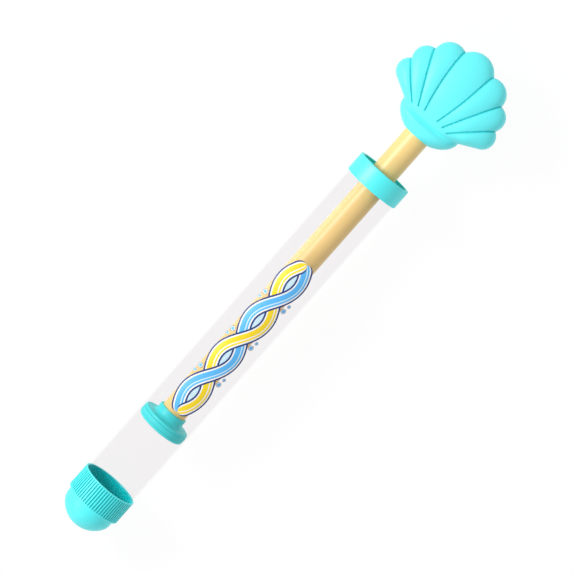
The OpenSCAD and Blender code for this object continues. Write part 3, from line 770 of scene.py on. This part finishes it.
printSet = {"start": 112.0, "end": 249.0, "lean": 13.0, "radius": 20.0, "waves": 2, "swing": 6.8, "tail": 5.0,
            "over": 0.055, "lift": 0.045, "skin": 0.012, "gleamAside": 1.2, "backHigh": 0.02, "backOver": 0.5,
            "along": 180, "across": 6,
            "layers": (("navy", 5.0, 0.0), ("white", 3.8, 0.02), ("fill", 2.8, 0.04), ("gleam", 0.4, 0.06))}
printLong = printSet["end"] - printSet["start"]
beat = 2 * math.pi * printSet["waves"] / printLong


def onBarrel(s, along, aside, high):
    turn = math.radians(s["lean"]) + aside / s["radius"]
    reach = (s["radius"] + high) * mm
    return Vector((jetX + along * mm, -reach * math.sin(turn), axisZ + reach * math.cos(turn)))


def keepInk(s, name, bm, ink):
    bmesh.ops.solidify(bm, geom=bm.faces[:], thickness=s["skin"] * mm)
    keepPiece(name, bm, inks[ink], "barrel", "barrel")


def makeRibbon(s, name, side, fill, gleam):
    for layer, half, lift in s["layers"]:
        bm = bmesh.new()
        verts = bmesh.ops.create_grid(bm, x_segments=s["along"], y_segments=s["across"], size=1)["verts"]
        for vert in verts:
            step = (vert.co.x + 1) / 2 * printLong
            centre = side * s["swing"] * math.sin(beat * step)
            lean = math.atan(side * s["swing"] * beat * math.cos(beat * step))
            edge = min(1.0, max(0.0, min(step, printLong - step) / s["tail"]))  # the ends are round
            wide = half * math.sqrt(max(0.0, 1 - (1 - edge) ** 2)) * vert.co.y
            if layer == "gleam":
                wide += s["gleamAside"] * edge
            high = s["over"] + s["lift"] + lift + s["over"] * side * math.cos(beat * step)  # over and under
            vert.co = onBarrel(s, s["start"] + step - wide * math.sin(lean), centre + wide * math.cos(lean), high)
        bmesh.ops.remove_doubles(bm, verts=bm.verts, dist=printWeld)  # the ends close
        keepInk(s, name + layer.capitalize(), bm, {"fill": fill, "gleam": gleam}.get(layer, layer))


def makeBacking(s):
    bm = bmesh.new()
    verts = bmesh.ops.create_grid(bm, x_segments=s["along"], y_segments=s["across"], size=1)["verts"]
    for vert in verts:
        step = (vert.co.x + 1) / 2 * printLong
        reach = s["swing"] * abs(math.sin(beat * step)) + s["backOver"]
        vert.co = onBarrel(s, s["start"] + step, reach * vert.co.y, s["backHigh"])
    keepInk(s, "printBacking", bm, "pale")


makeBacking(printSet)
makeRibbon(printSet, "ribbonOne", 1, "yellow", "white")
makeRibbon(printSet, "ribbonTwo", -1, "sky", "pale")


def addDisc(s, bm, along, aside, radius, high, rings=5, sectors=40):
    verts = bmesh.ops.create_grid(bm, x_segments=sectors, y_segments=rings, size=1)["verts"]
    for vert in verts:
        turn, reach = math.pi * (vert.co.x + 1), radius * (vert.co.y + 1) / 2
        vert.co = onBarrel(s, along + reach * math.cos(turn), aside + reach * math.sin(turn), high)


# bubbles lie in the bays beside each crossing: along, aside and radius
bubbleSet = {"bay": ((-1.2, 9.7, 2.0), (3.6, 10.7, 1.4)),
             "layers": (("navy", 1.0, 0.04), ("white", 0.84, 0.055), ("sky", 0.62, 0.07))}


def makeBubbles(s, ribbon):
    spots = []
    for index in range(1, 2 * ribbon["waves"]):
        crossing = ribbon["start"] + index * printLong / (2 * ribbon["waves"])
        for flip in (1, -1):
            spots += [(crossing + flip * along, flip * aside, size) for along, aside, size in s["bay"]]
    for layer, share, lift in s["layers"]:
        bm = bmesh.new()
        for along, aside, size in spots:
            addDisc(ribbon, bm, along, aside, size * share, lift)
        bmesh.ops.remove_doubles(bm, verts=bm.verts, dist=printWeld)  # the discs close
        keepInk(ribbon, "bubbles" + layer.capitalize(), bm, layer)


makeBubbles(bubbleSet, printSet)
print("stage 6: print made")

# camera, floor and light

cameraSet = {"lens": 174, "sensor": 36, "clip": 50, "distance": 1.924, "alongTilt": 8.07, "sideTilt": 7.6,
             "roll": 48.55, "along": 0.0076, "aside": 0.0011}


def makeCamera(s):
    back = Vector((math.sin(math.radians(s["alongTilt"])), -math.sin(math.radians(s["sideTilt"])), 1.0)).normalized()
    along = Vector((1, 0, 0))
    along = (along - along.dot(back) * back).normalized()
    aside = along.cross(back)
    roll = math.radians(s["roll"])
    right = along * math.cos(roll) + aside * math.sin(roll)
    up = along * math.sin(roll) - aside * math.cos(roll)
    camera = bpy.data.objects.new("camera", bpy.data.cameras.new("camera"))
    camera.data.lens = s["lens"]
    camera.data.sensor_width = s["sensor"]
    camera.data.clip_end = s["clip"]
    place = Matrix((right, up, back)).transposed().to_4x4()
    place.translation = Vector((s["along"], 0, axisZ)) + aside * s["aside"] + back * s["distance"]
    camera.matrix_world = place
    scene.collection.objects.link(camera)
    scene.camera = camera


makeCamera(cameraSet)


def seenDirectly(tree):
    path = tree.nodes.new("ShaderNodeLightPath")
    seen = mathNode(tree, "MAXIMUM", path.outputs["Is Camera Ray"], path.outputs["Is Glossy Ray"])
    return mathNode(tree, "MAXIMUM", seen, path.outputs["Is Transmission Ray"])


floorSet = {"half": 6.0, "gap": 0.001, "glow": 0.95, "shade": (0.92, 0.92, 0.92)}


def makeFloor(s):
    bm = bmesh.new()
    low = axisZ - boxes["handle_front"][1].y - s["gap"]  # the shell turns clear of the floor
    bmesh.ops.create_grid(bm, x_segments=1, y_segments=1, size=s["half"], matrix=Matrix.Translation((0, 0, low)))
    mesh = bpy.data.meshes.new("studioFloor")
    bm.to_mesh(mesh)
    bm.free()
    material, tree, output = newMaterial("paperFloor")
    paper = addNode(tree, "ShaderNodeBsdfDiffuse", {"Color": (*s["shade"], 1)})
    glow = addNode(tree, "ShaderNodeEmission", {"Color": (1, 1, 1, 1), "Strength": 1.0})
    mix = addNode(tree, "ShaderNodeMixShader", {}, {"Fac": mathNode(tree, "MULTIPLY", seenDirectly(tree), s["glow"])})
    tree.links.new(paper.outputs["BSDF"], mix.inputs[1])
    tree.links.new(glow.outputs["Emission"], mix.inputs[2])
    tree.links.new(mix.outputs["Shader"], output.inputs["Surface"])
    mesh.materials.append(material)
    floor = bpy.data.objects.new("studioFloor", mesh)
    scene.collection.objects.link(floor)


makeFloor(floorSet)

# lamps are name, place, size and power
lightSet = {"world": 0.55,
            "lamps": (("keyLamp", (0.0, 1.0, 1.28), 0.6, 18.5), ("endLamp", (-1.2, 0.45, 0.8), 0.8, 3.0))}


def makeLight(s):
    world = bpy.data.worlds.new("studioWorld")
    scene.world = world
    world.use_nodes = True
    tree = world.node_tree
    tree.nodes.clear()
    output = tree.nodes.new("ShaderNodeOutputWorld")
    level = mathNode(tree, "ADD", mathNode(tree, "MULTIPLY", seenDirectly(tree), 1.0 - s["world"]), s["world"])
    sky = addNode(tree, "ShaderNodeBackground", {"Color": (1, 1, 1, 1)}, {"Strength": level})
    tree.links.new(sky.outputs["Background"], output.inputs["Surface"])
    for name, place, size, power in s["lamps"]:
        data = bpy.data.lights.new(name, "AREA")
        data.shape = "DISK"
        data.size = size
        data.energy = power
        lamp = bpy.data.objects.new(name, data)
        lamp.location = place
        lamp.rotation_euler = (Vector((0, 0, axisZ)) - Vector(place)).to_track_quat("-Z", "Y").to_euler()
        scene.collection.objects.link(lamp)


makeLight(lightSet)
scene.view_settings.view_transform = "Standard"
print("stage 7: camera, floor and light made")
